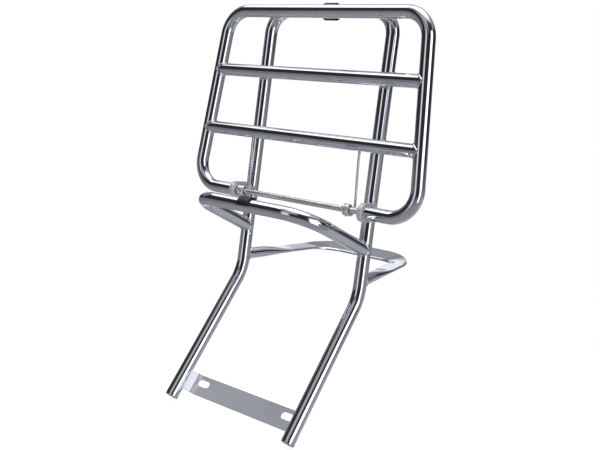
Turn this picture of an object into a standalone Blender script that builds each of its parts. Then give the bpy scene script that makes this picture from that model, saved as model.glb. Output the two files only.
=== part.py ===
"""Folding luggage rack for a scooter tail, drawn in its folded-up position.

Frame: +X across the rack, +Y towards the scooter, +Z up along the upright legs.  The
origin is the centre of the mounting plate's back face, the flat that bears on the
scooter's bracket.  The folding carrier turns about a rod parallel to X.
"""
import math

import bmesh
import bpy
from mathutils import Matrix, Vector

MM = 0.001

# ---------------------------------------------------------------- driving sizes
TUBE_RADIUS = 8.0 * MM
TUBE_WALL = 1.5 * MM
TUBE_SIDES = 16

LEG_HALF_SPACING = 92.0 * MM
LEG_TILT = math.radians(33.2)
LOWER_LEG_LENGTH = 182.8 * MM
LEG_END_BELOW_PLATE = 14.2 * MM
KNEE_TO_HINGE = 102.0 * MM
KNEE_BEND_RADIUS = 53.0 * MM
CROSSBAR_ABOVE_CARRIER = 3.0 * MM
FRAME_CORNER_RADIUS = 28.0 * MM

CARRIER_HEIGHT = 227.4 * MM
CARRIER_HALF_WIDTH_BASE = 167.7 * MM
CARRIER_HALF_WIDTH_TOP = 148.3 * MM
CARRIER_CORNER_RADIUS = 32.0 * MM
CROSS_BAR_COUNT = 2
HINGE_FORWARD = 22.5 * MM

ROD_RADIUS = 3.5 * MM
ROD_END_IN_STUB = 16.0 * MM
ROD_EDGE = 0.8 * MM
BUSH_LENGTH = 14.0 * MM

EYE_RADIUS = 10.8 * MM
EYE_THICKNESS = 6.0 * MM
EYE_PROUD_OF_LEG = 2.0 * MM
EYE_BEHIND_LEG_AXIS = 4.3 * MM

WASHER_RADIUS = 8.0 * MM
WASHER_THICKNESS = 1.5 * MM

SPRING_WIRE_RADIUS = 1.45 * MM
SPRING_SLACK_ON_ROD = 0.75 * MM
SPRING_TURNS = 3
SPRING_TAIL = 8.5 * MM
ARM_HOLE_DEPTH = 4.0 * MM
ARM_STRAIGHT = 9.0 * MM
ARM_BEND_RADIUS = 6.0 * MM

HOOP_REACH = 86.7 * MM
HOOP_DROP = 8.0 * MM
HOOP_ROOT_BELOW_HINGE = 44.8 * MM
HOOP_TAPER = 5.6 * MM
HOOP_CORNER_RADIUS = 39.5 * MM

LOOP_TUBE_RADIUS = 7.0 * MM
LOOP_BELOW_HINGE = 82.0 * MM
LOOP_REACH = 142.4 * MM
LOOP_RISE = 0.11
LOOP_FLAT_TILT = 0.54
LOOP_TAPER = 28.0 * MM
LOOP_CORNER_RADIUS = 42.7 * MM
LOOP_FLAT_WIDTH = 22.9 * MM
LOOP_FLAT_THICKNESS = 3.6 * MM
LOOP_ROUND_LENGTH = 26.0 * MM
LOOP_FLATTEN_LENGTH = 52.0 * MM
LOOP_FACE_SPREAD = 1.6

PLATE_WIDTH = 25.0 * MM
PLATE_THICKNESS = 3.0 * MM
PLATE_BEHIND_LEG = 5.5 * MM
PLATE_RAMP = 11.0 * MM
PLATE_BEND_RADIUS = 12.0 * MM
PLATE_END_BEND_RADIUS = 2.0 * MM
SLOT_LENGTH = 19.0 * MM
SLOT_WIDTH = 8.5 * MM
SLOT_END_MARGIN = 1.0 * MM
SLOT_ABOVE_CENTRE = 3.2 * MM

TOP_BUFFER_WALL = 2.6 * MM
TOP_BUFFER_LENGTH = 17.0 * MM
HOOP_BUFFER_WALL = 2.4 * MM
HOOP_BUFFER_LENGTH = 16.0 * MM
HOOP_BUFFER_HALF_ARC = math.radians(90.0)
BUFFER_EDGE = 0.8 * MM

CAP_THICKNESS = 1.5 * MM
CAP_PLUG_LENGTH = 6.0 * MM

# ---------------------------------------------------------------- clearances
GAP = 0.3 * MM
RUNNING_GAP = 0.4 * MM
SLEEVE_GAP = 0.15 * MM
WINDING_ROOM = 0.8 * MM
SPRING_END_GAP = 0.35 * MM

# ---------------------------------------------------------------- mesh fineness
CUTTER_SIDES = 32
TURNED_STEPS = 24
COIL_STEPS_PER_TURN = 16
SHARP_ANGLE = math.radians(35)
WELD_DISTANCE = 0.000001
TURN_WELD_DISTANCE = 0.00001

# ---------------------------------------------------------------- worked-out sizes
PLATE_SETBACK = TUBE_RADIUS + PLATE_BEHIND_LEG
PLATE_STEP_X = LEG_HALF_SPACING - TUBE_RADIUS / 2
PLATE_BEND_START = PLATE_STEP_X - PLATE_RAMP
HOOP_HALF_WIDTH = LEG_HALF_SPACING - HOOP_TAPER
LOOP_HALF_WIDTH = LEG_HALF_SPACING - LOOP_TAPER
CROSSBAR_ABOVE_HINGE = CARRIER_HEIGHT + CROSSBAR_ABOVE_CARRIER
TOP_REST_DISTANCE = 2 * TUBE_RADIUS + TOP_BUFFER_WALL + GAP
EYE_OUTER_X = LEG_HALF_SPACING + TUBE_RADIUS + EYE_PROUD_OF_LEG
EYE_INNER_X = EYE_OUTER_X - EYE_THICKNESS
STUB_END_X = EYE_OUTER_X + RUNNING_GAP
WASHER_INNER_X = EYE_INNER_X - GAP - WASHER_THICKNESS
BORE_FLAT_RADIUS = TUBE_RADIUS * math.cos(math.pi / TUBE_SIDES) - TUBE_WALL
SPRING_COIL_RADIUS = ROD_RADIUS + SPRING_WIRE_RADIUS + SPRING_SLACK_ON_ROD
SPRING_PITCH = 2 * SPRING_WIRE_RADIUS + GAP
SPRING_LENGTH = SPRING_TURNS * SPRING_PITCH + SPRING_WIRE_RADIUS
SPRING_ARM_X = WASHER_INNER_X - SPRING_END_GAP - SPRING_LENGTH - WINDING_ROOM

# ---------------------------------------------------------------- worked-out places
LOWER_DIRECTION = Vector((0, -math.sin(LEG_TILT), -math.cos(LEG_TILT)))
PLATE_NORMAL = Vector((0, math.cos(LEG_TILT), -math.sin(LEG_TILT)))
PLATE_TO_LEG_END = PLATE_WIDTH / 2 + LEG_END_BELOW_PLATE
LEG_AT_PLATE = -PLATE_NORMAL * (PLATE_SETBACK + PLATE_THICKNESS / 2)
KNEE = LEG_AT_PLATE - LOWER_DIRECTION * (LOWER_LEG_LENGTH - PLATE_TO_LEG_END)
LEG_END = LEG_AT_PLATE + LOWER_DIRECTION * PLATE_TO_LEG_END
HINGE = Vector((0, KNEE.y - HINGE_FORWARD, KNEE.z + KNEE_TO_HINGE))
CROSSBAR_Z = HINGE.z + CROSSBAR_ABOVE_HINGE


def carrier_lean():
    """Lean that lays the folded-up carrier's top tube against the crossbar's buffer."""
    to_crossbar = math.hypot(HINGE_FORWARD, CROSSBAR_ABOVE_HINGE)
    bearing = math.atan2(HINGE_FORWARD, CROSSBAR_ABOVE_HINGE)
    cosine = (to_crossbar**2 + CARRIER_HEIGHT**2 - TOP_REST_DISTANCE**2) / (
        2 * to_crossbar * CARRIER_HEIGHT
    )
    return bearing - math.acos(cosine)


CARRIER_LEAN = carrier_lean()
CARRIER_UP = Vector((0, math.sin(CARRIER_LEAN), math.cos(CARRIER_LEAN)))
HOOP_FRONT = HINGE + Vector((0, -HOOP_REACH, -HOOP_DROP))
SIDES = {"left": -1, "right": 1}


# ---------------------------------------------------------------- scene and materials
def clear_scene():
    for obj in list(bpy.data.objects):
        bpy.data.objects.remove(obj, do_unlink=True)


def make_collection(name):
    collection = bpy.data.collections.new(name)
    bpy.context.scene.collection.children.link(collection)
    return collection


clear_scene()
PARTS = make_collection("folding_luggage_rack")
CUTTERS = make_collection("cutters")


def make_material(name, colour, metallic, roughness):
    material = bpy.data.materials.new(name)
    material.use_nodes = True
    shader = material.node_tree.nodes["Principled BSDF"]
    shader.inputs["Base Color"].default_value = (*colour, 1)
    shader.inputs["Metallic"].default_value = metallic
    shader.inputs["Roughness"].default_value = roughness
    material.diffuse_color = (*colour, 1)
    return material


CHROME = ("chrome", (0.62, 0.63, 0.66), 1.0, 0.08)
ZINC = ("zinc", (0.60, 0.61, 0.60), 1.0, 0.35)
SPRING_STEEL = ("spring_steel", (0.58, 0.59, 0.56), 1.0, 0.30)
RUBBER = ("rubber", (0.02, 0.02, 0.022), 0.0, 0.55)
BUSH = ("bush", (0.75, 0.74, 0.70), 0.0, 0.45)


def add_part(name, mesh, finish):
    """Link a mesh as a named sub-part with its own material."""
    obj = bpy.data.objects.new(name, mesh)
    PARTS.objects.link(obj)
    label, colour, metallic, roughness = finish
    mesh.materials.clear()
    mesh.materials.append(make_material(f"{label}_{name}", colour, metallic, roughness))
    mesh.shade_smooth()
    mesh.set_sharp_from_angle(angle=SHARP_ANGLE)
    return obj


def rehang(obj, origin):
    """Move an object's origin onto its joint without moving its geometry."""
    obj.data.transform(Matrix.Translation(-origin))
    obj.location = origin


# ---------------------------------------------------------------- paths
def arc_between(start, corner, end, radius, steps):
    """Points of the fillet of the given radius at a polyline's corner."""
    before = (start - corner).normalized()
    after = (end - corner).normalized()
    half_angle = before.angle(after) / 2
    setback = radius / math.tan(half_angle)
    centre = corner + (before + after).normalized() * (radius / math.sin(half_angle))
    first = corner + before * setback - centre
    axis = before.cross(after).normalized()
    sweep = -(math.pi - 2 * half_angle)
    turns = [Matrix.Rotation(sweep * i / steps, 3, axis) for i in range(steps + 1)]
    return [centre + turn @ first for turn in turns]


def rounded_path(corners, radii, steps):
    """A polyline with every inner corner replaced by an arc."""
    points = [corners[0]]
    for i, radius in enumerate(radii, start=1):
        points += arc_between(corners[i - 1], corners[i], corners[i + 1], radius, steps)
    points.append(corners[-1])
    return points


# ---------------------------------------------------------------- solids
def mesh_from_curve(curve_object):
    """Evaluated mesh of a curve in world space; the curve object is removed."""
    depsgraph = bpy.context.evaluated_depsgraph_get()
    evaluated = curve_object.evaluated_get(depsgraph)
    mesh = bpy.data.meshes.new_from_object(evaluated)
    mesh.transform(curve_object.matrix_world)
    bpy.data.objects.remove(curve_object, do_unlink=True)
    work = bmesh.new()
    work.from_mesh(mesh)
    bmesh.ops.remove_doubles(work, verts=work.verts, dist=WELD_DISTANCE)
    bmesh.ops.recalc_face_normals(work, faces=work.faces)
    work.to_mesh(mesh)
    work.free()
    return mesh


def swept_mesh(points, radius, resolution, capped):
    curve = bpy.data.curves.new("sweep", "CURVE")
    curve.dimensions = "3D"
    curve.bevel_depth = radius
    curve.bevel_resolution = resolution
    curve.use_fill_caps = capped
    spline = curve.splines.new("POLY")
    spline.points.add(len(points) - 1)
    for spline_point, point in zip(spline.points, points):
        spline_point.co = (*point, 1)
    sweep = bpy.data.objects.new("sweep", curve)
    bpy.context.scene.collection.objects.link(sweep)
    return mesh_from_curve(sweep)


def hollow_tube(name, points, finish=CHROME):
    """Open-ended tube of the common section, its wall added inwards by Solidify."""
    resolution = (TUBE_SIDES - 4) // 2
    tube = add_part(name, swept_mesh(points, TUBE_RADIUS, resolution, capped=False), finish)
    wall = tube.modifiers.new("wall", "SOLIDIFY")
    wall.thickness = TUBE_WALL
    wall.offset = -1
    wall.use_even_offset = True
    return tube


def wire(name, points, radius, finish):
    return add_part(name, swept_mesh(points, radius, resolution=2, capped=True), finish)


def along(direction):
    """Rotation taking +Z onto the given direction."""
    return Vector(direction).to_track_quat("Z", "Y").to_matrix().to_4x4()


def turned_part(name, profile, centre, direction, finish):
    """Lathe-turned piece: profile points are (radius, height along the axis)."""
    mesh = bpy.data.meshes.new(name)
    vertices = [(radius, 0, height) for radius, height in profile]
    edges = [(i, i + 1) for i in range(len(profile) - 1)]
    if profile[0][0] > 0:
        edges.append((len(profile) - 1, 0))
    mesh.from_pydata(vertices, edges, [])
    obj = add_part(name, mesh, finish)
    obj.matrix_world = Matrix.Translation(centre) @ along(direction)
    screw = obj.modifiers.new("turn", "SCREW")
    screw.angle = math.tau
    screw.steps = TURNED_STEPS
    screw.render_steps = TURNED_STEPS
    screw.use_merge_vertices = True
    screw.merge_threshold = TURN_WELD_DISTANCE
    screw.use_smooth_shade = True
    return obj


def ring(name, outer, inner, length, centre, finish, edge=0.0):
    """Turned ring about an axis along X, its outer edges chamfered by `edge`."""
    half = length / 2
    profile = [
        (outer - edge, half),
        (outer, half - edge),
        (outer, edge - half),
        (outer - edge, -half),
        (inner, -half),
        (inner, half),
    ]
    if edge == 0.0:
        profile = [(outer, half), (outer, -half), (inner, -half), (inner, half)]
    return turned_part(name, profile, centre, (1, 0, 0), finish)


# ---------------------------------------------------------------- cutters
def hide_cutter(cutter):
    for collection in list(cutter.users_collection):
        collection.objects.unlink(cutter)
    CUTTERS.objects.link(cutter)
    cutter.display_type = "WIRE"
    cutter.hide_render = True
    return cutter


def cylinder_cutter(name, start, end, radius):
    axis = end - start
    bpy.ops.mesh.primitive_cylinder_add(
        vertices=CUTTER_SIDES, radius=radius, depth=axis.length, location=(0, 0, 0)
    )
    cutter = bpy.context.active_object
    cutter.name = name
    cutter.data.transform(Matrix.Translation((start + end) / 2) @ along(axis))
    return hide_cutter(cutter)


def subtract(obj, cutter):
    cut = obj.modifiers.new(cutter.name, "BOOLEAN")
    cut.operation = "DIFFERENCE"
    cut.solver = "EXACT"
    cut.object = cutter


def weld_cope(obj, cutters):
    """Cut a piece back to the tubes it is welded to."""
    for cutter in cutters:
        subtract(obj, cutter)


# ---------------------------------------------------------------- frame
def leg_path(side):
    x = side * LEG_HALF_SPACING
    end = LEG_END - LOWER_DIRECTION * (CAP_THICKNESS + GAP)
    return Vector((x, end.y, end.z)), Vector((x, KNEE.y, KNEE.z)), Vector((x, KNEE.y, CROSSBAR_Z))


def build_frame_tube():
    left = leg_path(-1)
    right = leg_path(1)
    corners = [*left, *reversed(right)]
    radii = [KNEE_BEND_RADIUS, FRAME_CORNER_RADIUS, FRAME_CORNER_RADIUS, KNEE_BEND_RADIUS]
    return hollow_tube("frame_tube", rounded_path(corners, radii, steps=6))


def leg_cutters():
    """Clearance cylinders round both upright legs."""
    cutters = []
    for label, side in SIDES.items():
        x = side * LEG_HALF_SPACING
        low = Vector((x, KNEE.y, KNEE.z))
        high = Vector((x, KNEE.y, CROSSBAR_Z))
        cutters.append(cylinder_cutter(f"upper_leg_cutter_{label}", low, high, TUBE_RADIUS + GAP))
    return cutters


def lower_leg_cutters():
    cutters = []
    for label, side in SIDES.items():
        offset = Vector((side * LEG_HALF_SPACING, 0, 0))
        cutters.append(
            cylinder_cutter(
                f"lower_leg_cutter_{label}", LEG_END + offset, KNEE + offset, TUBE_RADIUS + GAP
            )
        )
    return cutters


def build_leg_caps():
    for label, side in SIDES.items():
        rim = TUBE_RADIUS
        plug = BORE_FLAT_RADIUS - GAP
        profile = [
            (0, CAP_PLUG_LENGTH),
            (plug, CAP_PLUG_LENGTH),
            (plug, 0),
            (rim, 0),
            (rim, -CAP_THICKNESS),
            (0, -CAP_THICKNESS),
        ]
        centre = LEG_END - LOWER_DIRECTION * CAP_THICKNESS
        centre.x = side * LEG_HALF_SPACING
        turned_part(f"leg_end_cap_{label}", profile, centre, -LOWER_DIRECTION, CHROME)


def build_hoop(cutters):
    """U-shaped support bow, welded to the legs below the hinge."""
    root_z = HINGE.z - HOOP_ROOT_BELOW_HINGE
    corners = [
        Vector((-LEG_HALF_SPACING, KNEE.y, root_z)),
        Vector((-HOOP_HALF_WIDTH, HOOP_FRONT.y, HOOP_FRONT.z)),
        Vector((HOOP_HALF_WIDTH, HOOP_FRONT.y, HOOP_FRONT.z)),
        Vector((LEG_HALF_SPACING, KNEE.y, root_z)),
    ]
    path = rounded_path(corners, [HOOP_CORNER_RADIUS] * 2, steps=8)
    weld_cope(hollow_tube("hoop_tube", path), cutters)


# ---------------------------------------------------------------- rear loop
def smoothstep(value):
    value = min(max(value, 0.0), 1.0)
    return value * value * (3 - 2 * value)


def loop_section(angle, flatness):
    """Point of the section: a round tube for flatness 0, a pressed-flat one for 1."""
    half_thickness = LOOP_FLAT_THICKNESS / 2
    reach = LOOP_FACE_SPREAD * math.cos(angle)
    spread = min(max(reach, -1), 1)
    beyond = (abs(reach) - abs(spread)) / (LOOP_FACE_SPREAD - 1)
    turn = math.asin(min(beyond, 1))
    flat_u = (LOOP_FLAT_WIDTH / 2 - half_thickness) * spread
    flat_u += math.copysign(half_thickness * math.sin(turn), reach)
    flat_v = math.copysign(half_thickness * math.cos(turn), math.sin(angle))
    round_u = LOOP_TUBE_RADIUS * math.cos(angle)
    round_v = LOOP_TUBE_RADIUS * math.sin(angle)
    u = round_u + (flat_u - round_u) * flatness
    v = round_v + (flat_v - round_v) * flatness
    return u, v


def loop_path():
    root = Vector((LEG_HALF_SPACING, KNEE.y, HINGE.z - LOOP_BELOW_HINGE))
    back = root + Vector((0, LOOP_REACH, LOOP_REACH * LOOP_RISE))
    corners = [
        Vector((-root.x, root.y, root.z)),
        Vector((-LOOP_HALF_WIDTH, back.y, back.z)),
        Vector((LOOP_HALF_WIDTH, back.y, back.z)),
        root,
    ]
    path = rounded_path(corners, [LOOP_CORNER_RADIUS] * 2, steps=10)
    return subdivide_ends(path, steps=14)


def subdivide_ends(path, steps):
    """Add stations along the first and last stretch, where the tube is pressed flat."""
    head = [path[0].lerp(path[1], i / steps) for i in range(steps)]
    tail = [path[-2].lerp(path[-1], (i + 1) / steps) for i in range(steps)]
    return head + path[1:-1] + tail


def build_rear_loop(cutters):
    """Round tube at the legs, pressed flat towards the back, as a loft of sections."""
    path = loop_path()
    flat_normal = Vector((0, -LOOP_FLAT_TILT, 1)).normalized()
    mesh = bpy.data.meshes.new("rear_loop")
    work = bmesh.new()
    rings = []
    for i, point in enumerate(path):
        before = path[max(i - 1, 0)]
        after = path[min(i + 1, len(path) - 1)]
        tangent = (after - before).normalized()
        side = tangent.cross(flat_normal).normalized()
        rise = side.cross(tangent)
        from_root = min((point - path[0]).length, (point - path[-1]).length)
        flatness = smoothstep((from_root - LOOP_ROUND_LENGTH) / LOOP_FLATTEN_LENGTH)
        vertices = []
        for k in range(TUBE_SIDES):
            u, v = loop_section(math.tau * k / TUBE_SIDES, flatness)
            vertices.append(work.verts.new(point + side * u + rise * v))
        rings.append(vertices)
    for first, second in zip(rings, rings[1:]):
        for k in range(TUBE_SIDES):
            j = (k + 1) % TUBE_SIDES
            work.faces.new((first[k], first[j], second[j], second[k]))
    work.faces.new(rings[0])
    work.faces.new(rings[-1])
    bmesh.ops.recalc_face_normals(work, faces=work.faces)
    work.to_mesh(mesh)
    work.free()
    weld_cope(add_part("rear_loop", mesh, CHROME), cutters)


# ---------------------------------------------------------------- mounting plate
def plate_matrix():
    """Plate frame: X across, Y down along the legs, Z out of the back face."""
    across = Vector((1, 0, 0))
    matrix = Matrix.Identity(4)
    for column, axis in enumerate((across, LOWER_DIRECTION, PLATE_NORMAL)):
        for row in range(3):
            matrix[row][column] = axis[row]
    return matrix


def slot_cutter(label, centre_x):
    centre_y = -SLOT_ABOVE_CENTRE
    straight = SLOT_LENGTH - SLOT_WIDTH
    depth = 4 * PLATE_THICKNESS
    bm = bmesh.new()
    outline = []
    steps = 12
    for end in (1, -1):
        for i in range(steps + 1):
            angle = -math.pi / 2 + math.pi * i / steps
            x = end * (straight / 2 + SLOT_WIDTH / 2 * math.cos(angle))
            y = end * SLOT_WIDTH / 2 * math.sin(angle)
            outline.append(bm.verts.new((centre_x + x, centre_y + y, -depth)))
    base = bm.faces.new(outline)
    extruded = bmesh.ops.extrude_face_region(bm, geom=[base])
    moved = [item for item in extruded["geom"] if isinstance(item, bmesh.types.BMVert)]
    bmesh.ops.translate(bm, verts=moved, vec=(0, 0, 2 * depth))
    bmesh.ops.recalc_face_normals(bm, faces=bm.faces)
    mesh = bpy.data.meshes.new(f"slot_cutter_{label}")
    bm.to_mesh(mesh)
    bm.free()
    cutter = bpy.data.objects.new(mesh.name, mesh)
    bpy.context.scene.collection.objects.link(cutter)
    cutter.matrix_world = plate_matrix()
    return hide_cutter(cutter)


def build_mounting_plate(cutters):
    """Slotted strip behind the legs; both ends step forward and meet the tubes."""
    corners = [
        Vector((-LEG_HALF_SPACING, 0, -PLATE_SETBACK)),
        Vector((-PLATE_STEP_X, 0, -PLATE_SETBACK)),
        Vector((-PLATE_BEND_START, 0, 0)),
        Vector((PLATE_BEND_START, 0, 0)),
        Vector((PLATE_STEP_X, 0, -PLATE_SETBACK)),
        Vector((LEG_HALF_SPACING, 0, -PLATE_SETBACK)),
    ]
    radii = [PLATE_END_BEND_RADIUS, PLATE_BEND_RADIUS, PLATE_BEND_RADIUS, PLATE_END_BEND_RADIUS]
    path = rounded_path(corners, radii, steps=5)
    half = PLATE_WIDTH / 2
    vertices = []
    for point in path:
        vertices.append((point.x, -half, point.z))
        vertices.append((point.x, half, point.z))
    faces = [(2 * i, 2 * i + 2, 2 * i + 3, 2 * i + 1) for i in range(len(path) - 1)]
    mesh = bpy.data.meshes.new("mounting_plate")
    mesh.from_pydata(vertices, [], faces)
    plate = add_part("mounting_plate", mesh, CHROME)
    plate.matrix_world = plate_matrix()
    thickness = plate.modifiers.new("thickness", "SOLIDIFY")
    thickness.thickness = PLATE_THICKNESS
    thickness.offset = -1
    thickness.use_even_offset = True
    slot_x = PLATE_BEND_START - SLOT_END_MARGIN - SLOT_LENGTH / 2
    for label, side in SIDES.items():
        subtract(plate, slot_cutter(label, side * slot_x))
    weld_cope(plate, cutters)


# ---------------------------------------------------------------- hinge
def eye_outline():
    """Side view of a hinge eye: round nose on the rod, straight back to the leg."""
    tail = KNEE.y + EYE_BEHIND_LEG_AXIS - HINGE.y
    points = [(tail, EYE_RADIUS)]
    steps = 14
    for i in range(steps + 1):
        angle = math.pi / 2 + math.pi * i / steps
        points.append((EYE_RADIUS * math.cos(angle), EYE_RADIUS * math.sin(angle)))
    points.append((tail, -EYE_RADIUS))
    return points


def build_hinge_eyes(cutters):
    rod_hole = cylinder_cutter(
        "rod_hole_cutter",
        HINGE - Vector((STUB_END_X, 0, 0)),
        HINGE + Vector((STUB_END_X, 0, 0)),
        ROD_RADIUS + GAP,
    )
    for label, side in SIDES.items():
        curve = bpy.data.curves.new(f"hinge_eye_{label}", "CURVE")
        curve.dimensions = "2D"
        curve.fill_mode = "BOTH"
        curve.extrude = EYE_THICKNESS / 2
        outline = eye_outline()
        spline = curve.splines.new("POLY")
        spline.points.add(len(outline) - 1)
        for spline_point, (y, z) in zip(spline.points, outline):
            spline_point.co = (y, z, 0, 1)
        spline.use_cyclic_u = True
        eye = bpy.data.objects.new(curve.name, curve)
        bpy.context.scene.collection.objects.link(eye)
        x = side * (EYE_INNER_X + EYE_THICKNESS / 2)
        turn = Matrix(((0, 0, 1, x), (1, 0, 0, HINGE.y), (0, 1, 0, HINGE.z), (0, 0, 0, 1)))
        eye.matrix_world = turn
        bpy.context.view_layer.update()
        part = add_part(f"hinge_eye_{label}", mesh_from_curve(eye), CHROME)
        subtract(part, rod_hole)
        weld_cope(part, cutters)


def build_hinge_rod():
    half = STUB_END_X + ROD_END_IN_STUB
    profile = [
        (0, half),
        (ROD_RADIUS - ROD_EDGE, half),
        (ROD_RADIUS, half - ROD_EDGE),
        (ROD_RADIUS, ROD_EDGE - half),
        (ROD_RADIUS - ROD_EDGE, -half),
        (0, -half),
    ]
    turned_part("hinge_rod", profile, HINGE, (1, 0, 0), ZINC)


def build_washers():
    for label, side in SIDES.items():
        x = side * (WASHER_INNER_X + WASHER_THICKNESS / 2)
        centre = HINGE + Vector((x, 0, 0))
        name = f"hinge_washer_{label}"
        ring(name, WASHER_RADIUS, ROD_RADIUS + GAP, WASHER_THICKNESS, centre, ZINC)


# ---------------------------------------------------------------- torsion springs
def coil_points(end_x):
    """Helix round the rod, advancing towards +X and ending behind the rod at `end_x`."""
    per_turn = COIL_STEPS_PER_TURN
    start_x = end_x - SPRING_TURNS * SPRING_PITCH
    points = [Vector((start_x, HINGE.y + SPRING_COIL_RADIUS, HINGE.z - SPRING_TAIL))]
    for i in range(SPRING_TURNS * per_turn + 1):
        angle = math.tau * i / per_turn
        x = start_x + SPRING_PITCH * i / per_turn
        y = HINGE.y + SPRING_COIL_RADIUS * math.cos(angle)
        z = HINGE.z + SPRING_COIL_RADIUS * math.sin(angle)
        points.append(Vector((x, y, z)))
    return points


def bar_distance(index):
    """Distance from the hinge to a cross bar, measured up the carrier."""
    return CARRIER_HEIGHT * index / (CROSS_BAR_COUNT + 1)


def on_carrier(x, height):
    """Point of the carrier's plane, `height` up from the hinge."""
    return HINGE + Vector((x, 0, 0)) + CARRIER_UP * height


def build_springs():
    """Torsion springs, alike on both sides; each arm has side room to swing past its coil."""
    for label, side in SIDES.items():
        arm_x = side * SPRING_ARM_X
        coil = coil_points(arm_x - WINDING_ROOM)
        wire(f"spring_coil_{label}", coil, SPRING_WIRE_RADIUS, SPRING_STEEL)
        foot = coil[-1] + Vector((WINDING_ROOM, 0, GAP))
        bar_bottom = bar_distance(1) - TUBE_RADIUS
        knee = foot + Vector((0, 0, ARM_STRAIGHT))
        neck = on_carrier(arm_x, bar_bottom - ARM_STRAIGHT)
        tip = on_carrier(arm_x, bar_bottom + ARM_HOLE_DEPTH - RUNNING_GAP)
        path = rounded_path([foot, knee, neck, tip], [ARM_BEND_RADIUS] * 2, steps=3)
        arm = wire(f"spring_arm_{label}", path, SPRING_WIRE_RADIUS, SPRING_STEEL)
        rehang(arm, HINGE)


# ---------------------------------------------------------------- carrier
def carrier_corner(side, height):
    share = height / CARRIER_HEIGHT
    taper = CARRIER_HALF_WIDTH_TOP - CARRIER_HALF_WIDTH_BASE
    return on_carrier(side * (CARRIER_HALF_WIDTH_BASE + taper * share), height)


def build_carrier_tube():
    corners = [
        HINGE - Vector((STUB_END_X, 0, 0)),
        carrier_corner(-1, 0),
        carrier_corner(-1, CARRIER_HEIGHT),
        carrier_corner(1, CARRIER_HEIGHT),
        carrier_corner(1, 0),
        HINGE + Vector((STUB_END_X, 0, 0)),
    ]
    path = rounded_path(corners, [CARRIER_CORNER_RADIUS] * 4, steps=7)
    rehang(hollow_tube("carrier_tube", path), HINGE)


def carrier_side_cutters():
    cutters = []
    for label, side in SIDES.items():
        low = carrier_corner(side, 0)
        high = carrier_corner(side, CARRIER_HEIGHT)
        cutters.append(
            cylinder_cutter(f"carrier_side_cutter_{label}", low, high, TUBE_RADIUS + GAP)
        )
    return cutters


def arm_hole_cutters():
    cutters = []
    for label, side in SIDES.items():
        bottom = bar_distance(1) - TUBE_RADIUS
        low = on_carrier(side * SPRING_ARM_X, bottom - TUBE_WALL)
        high = on_carrier(side * SPRING_ARM_X, bottom + ARM_HOLE_DEPTH)
        radius = SPRING_WIRE_RADIUS + RUNNING_GAP
        cutters.append(cylinder_cutter(f"arm_hole_cutter_{label}", low, high, radius))
    return cutters


def build_cross_bars(side_cutters):
    for index, name in enumerate(["cross_bar_lower", "cross_bar_upper"], start=1):
        height = bar_distance(index)
        bar = hollow_tube(name, [carrier_corner(-1, height), carrier_corner(1, height)])
        weld_cope(bar, side_cutters)
        if index == 1:
            weld_cope(bar, arm_hole_cutters())
        rehang(bar, HINGE)


def build_bushes():
    for label, side in SIDES.items():
        x = side * (STUB_END_X + BUSH_LENGTH / 2)
        centre = HINGE + Vector((x, 0, 0))
        outer = BORE_FLAT_RADIUS - GAP
        ring(f"stub_bush_{label}", outer, ROD_RADIUS + RUNNING_GAP, BUSH_LENGTH, centre, BUSH)


# ---------------------------------------------------------------- rubber buffers
def build_top_buffer():
    """Sleeve on the frame's crossbar; the folded-up carrier leans on it."""
    centre = Vector((0, KNEE.y, CROSSBAR_Z))
    inner = TUBE_RADIUS + SLEEVE_GAP
    outer = TUBE_RADIUS + TOP_BUFFER_WALL
    ring("top_buffer", outer, inner, TOP_BUFFER_LENGTH, centre, RUBBER, edge=BUFFER_EDGE)


def build_hoop_buffer():
    """Saddle over the hoop's front bar; the folded-down carrier rests on it."""
    inner = TUBE_RADIUS + SLEEVE_GAP
    outer = TUBE_RADIUS + HOOP_BUFFER_WALL
    saddle = ring(
        "hoop_buffer", outer, inner, HOOP_BUFFER_LENGTH, HOOP_FRONT, RUBBER, edge=BUFFER_EDGE
    )
    drop = outer * math.cos(HOOP_BUFFER_HALF_ARC)
    bpy.ops.mesh.primitive_cube_add(size=1, location=(0, 0, 0))
    cutter = bpy.context.active_object
    cutter.name = "hoop_buffer_cutter"
    size = 4 * outer
    cutter.data.transform(Matrix.Diagonal((2 * HOOP_BUFFER_LENGTH, size, size, 1)))
    cutter.data.transform(Matrix.Translation(HOOP_FRONT + Vector((0, 0, drop - size / 2))))
    subtract(saddle, hide_cutter(cutter))


def build():
    upper_legs = leg_cutters()
    build_frame_tube()
    build_leg_caps()
    build_hoop(upper_legs)
    build_rear_loop(upper_legs)
    build_mounting_plate(lower_leg_cutters())
    build_hinge_eyes(upper_legs)
    build_hinge_rod()
    build_washers()
    build_springs()
    build_carrier_tube()
    build_cross_bars(carrier_side_cutters())
    build_bushes()
    build_top_buffer()
    build_hoop_buffer()


build()
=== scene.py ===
import math

import bmesh
import bpy
from mathutils import Matrix, Vector, noise


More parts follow.
